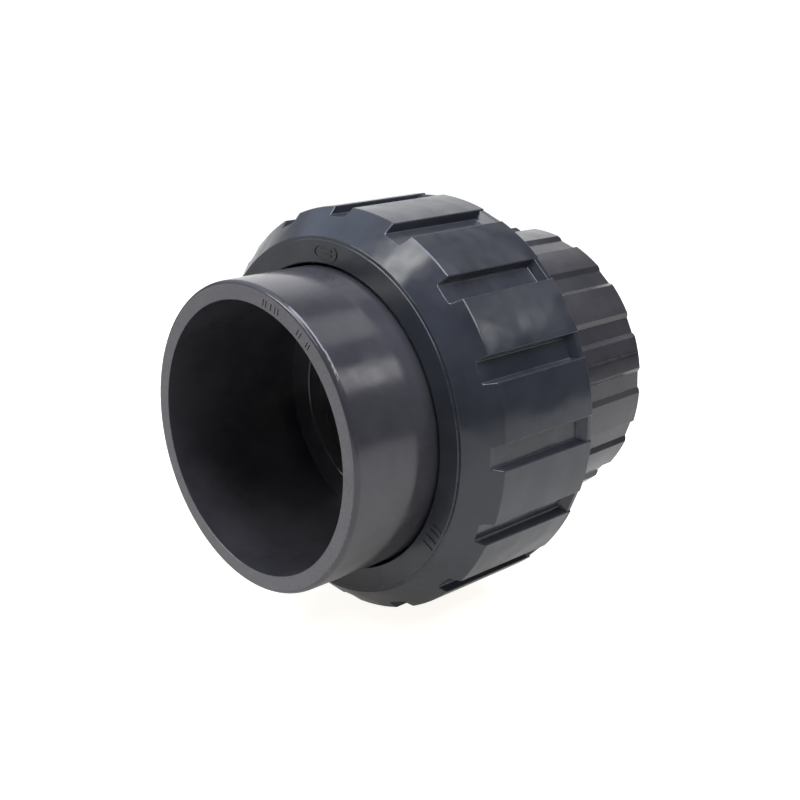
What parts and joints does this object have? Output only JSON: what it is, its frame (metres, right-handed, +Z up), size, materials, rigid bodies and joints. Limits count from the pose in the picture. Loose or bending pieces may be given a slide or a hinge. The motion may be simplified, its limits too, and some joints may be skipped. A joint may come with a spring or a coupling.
{
  "type": "pipe union fitting",
  "caption": "Plastic pipe union: a plain pipe socket with a collar is drawn against a ribbed threaded socket by a screwed nut with grip pads, over a rubber face seal.",
  "frame": {"origin": "middle of the closed fitting's length, on the pipe axis", "axes": "+X along the pipe axis towards the threaded socket, -X towards the plain socket, +Z up"},
  "size_m": [0.099, 0.0998, 0.0998],
  "materials": {
    "body_plastic": "semi-gloss moulded",
    "tail_plastic": "semi-gloss moulded",
    "nut_plastic": "semi-gloss moulded",
    "seal_rubber": "satin"
  },
  "bodies": {
    "body": {"threaded_body": "body_plastic", "seal_ring": "seal_rubber"},
    "tail": {"socket_tail": "tail_plastic"},
    "nut": {"union_nut": "nut_plastic"}
  },
  "joints": [
    {"name": "tail_slide", "type": "slide", "parent": "body", "child": "tail", "axis": [-1, 0, 0], "range_m": [0, 0.0181]},
    {"name": "nut_turn", "type": "hinge", "parent": "tail", "child": "nut", "pos_m": [0, 0, 0], "axis": [-1, 0, 0], "range_deg": [0, 1296]}
  ],
  "couplings": [
    {"joint": "tail_slide", "follows": "nut_turn", "m_per_rad": 0.00079577}
  ]
}
